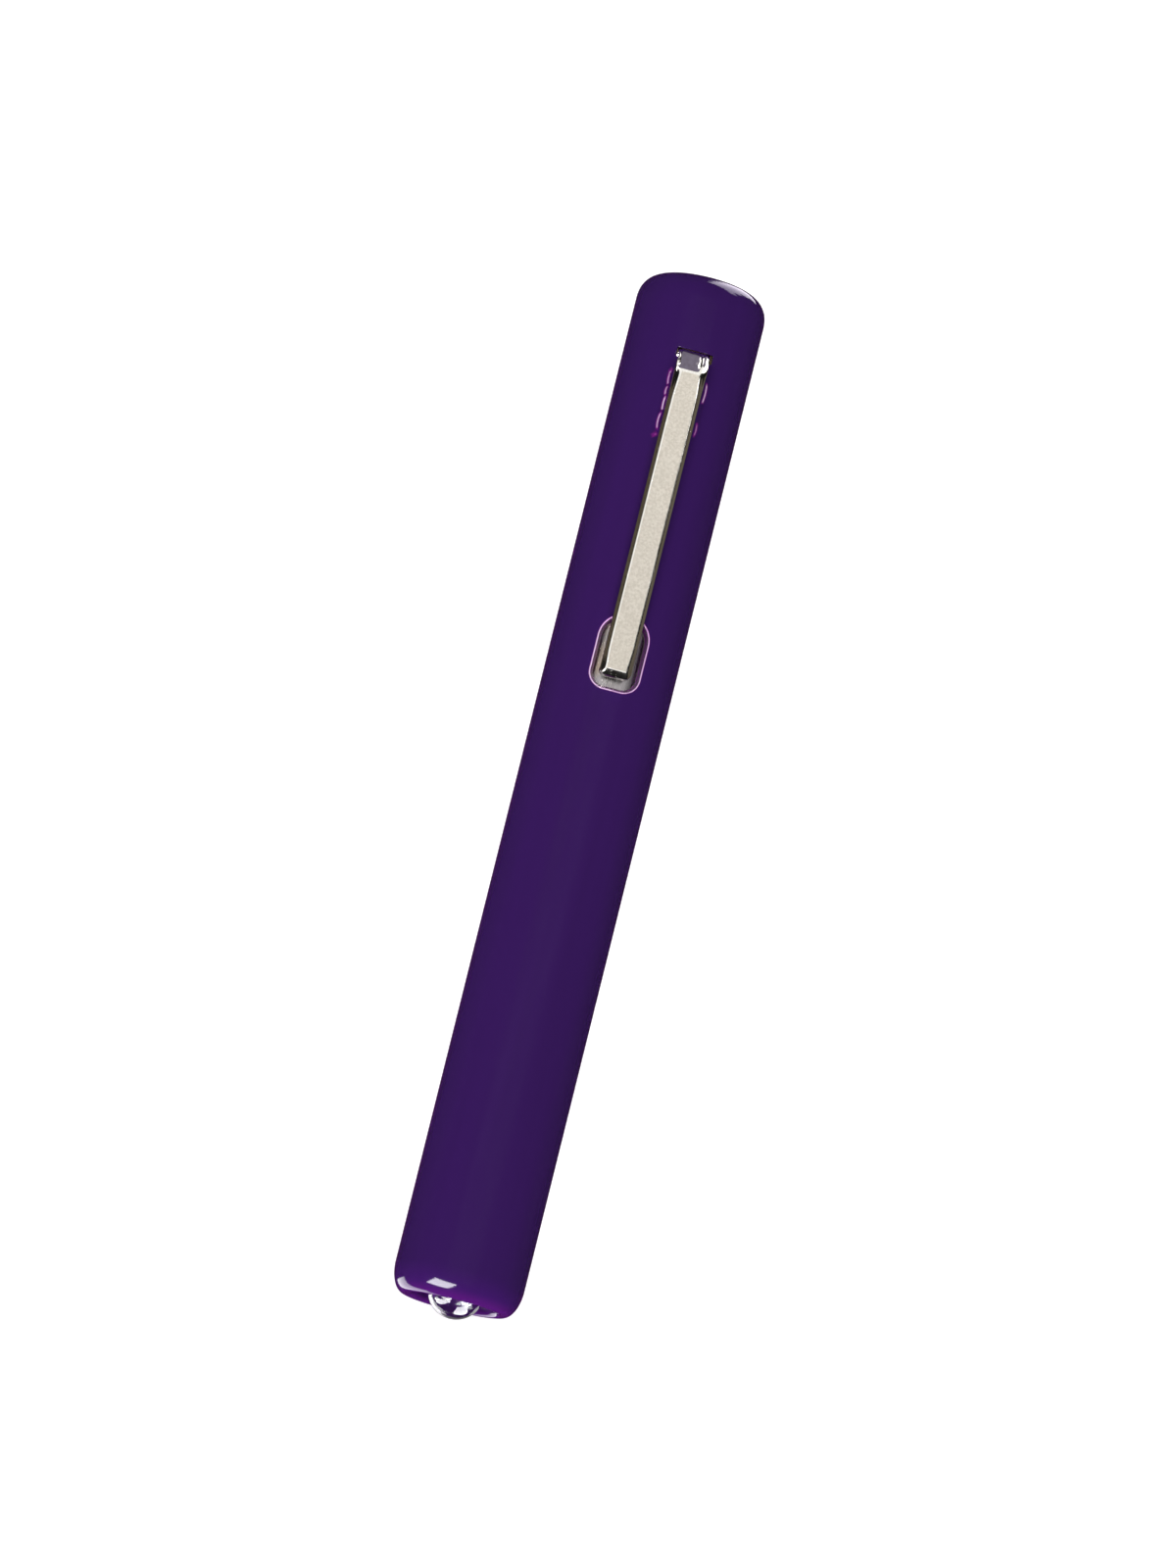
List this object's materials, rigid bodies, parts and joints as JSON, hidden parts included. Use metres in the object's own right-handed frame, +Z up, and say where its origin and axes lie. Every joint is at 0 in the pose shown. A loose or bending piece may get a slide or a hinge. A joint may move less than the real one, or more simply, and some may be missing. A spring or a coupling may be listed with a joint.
{
  "type": "diagnostic penlight",
  "caption": "Slim tubular penlight with a lens lamp in its mouth and a sprung metal pocket clip that is pressed through an oval window to light it.",
  "frame": {"origin": "on the surface the penlight lies on, under the middle of its overall length and width", "axes": "+Y along the barrel towards its closed end, the lamp looks along -Y, +Z up through the pocket clip, +X across"},
  "size_m": [0.0134, 0.1106, 0.0154],
  "materials": {
    "casing_vinyl": "glossy deep violet vinyl",
    "bushing_plastic": "glossy violet moulding",
    "clip_nickel": "satin nickel plate, bright at the bend",
    "tinplate": "tinned, lightly scratched",
    "brass": "plain stamped brass",
    "steel": "drawn",
    "zinc": "drawn zinc",
    "black_mix": "matt black pressed powder",
    "carbon": "matt graphite",
    "lamp_glass": "clear, polished",
    "card": "matt kraft card",
    "fibre": "matt black fibre",
    "cell_jacket": "plain printed sleeve with no lettering"
  },
  "bodies": {
    "barrel": {"casing": "casing_vinyl", "clip_anchor": "clip_nickel", "lamp_bushing": "bushing_plastic", "lamp_globe": "lamp_glass", "lamp_shell": "brass", "lamp_insulator": "fibre", "lamp_contact": "tinplate", "lamp_bead": "lamp_glass", "lead_left": "steel", "lead_right": "steel", "filament": "steel", "contact_strip": "tinplate", "end_contact": "brass", "battery_spring": "steel", "liner": "card", "cell_1_can": "zinc", "cell_1_mix": "black_mix", "cell_1_carbon_rod": "carbon", "cell_1_jacket": "cell_jacket", "cell_1_flat_cap": "tinplate", "cell_1_button_cap": "tinplate", "cell_1_seal": "fibre", "cell_2_can": "zinc", "cell_2_mix": "black_mix", "cell_2_carbon_rod": "carbon", "cell_2_jacket": "cell_jacket", "cell_2_flat_cap": "tinplate", "cell_2_button_cap": "tinplate", "cell_2_seal": "fibre"},
    "clip": {"clip_arm": "clip_nickel"}
  },
  "joints": [
    {"name": "clip_press", "type": "hinge", "parent": "barrel", "child": "clip", "pos_m": [0, 0.04573, 0.01357], "axis": [1, 0, 0], "range_deg": [-4, 1.2], "stiffness_Nm_per_rad": 2.5}
  ]
}
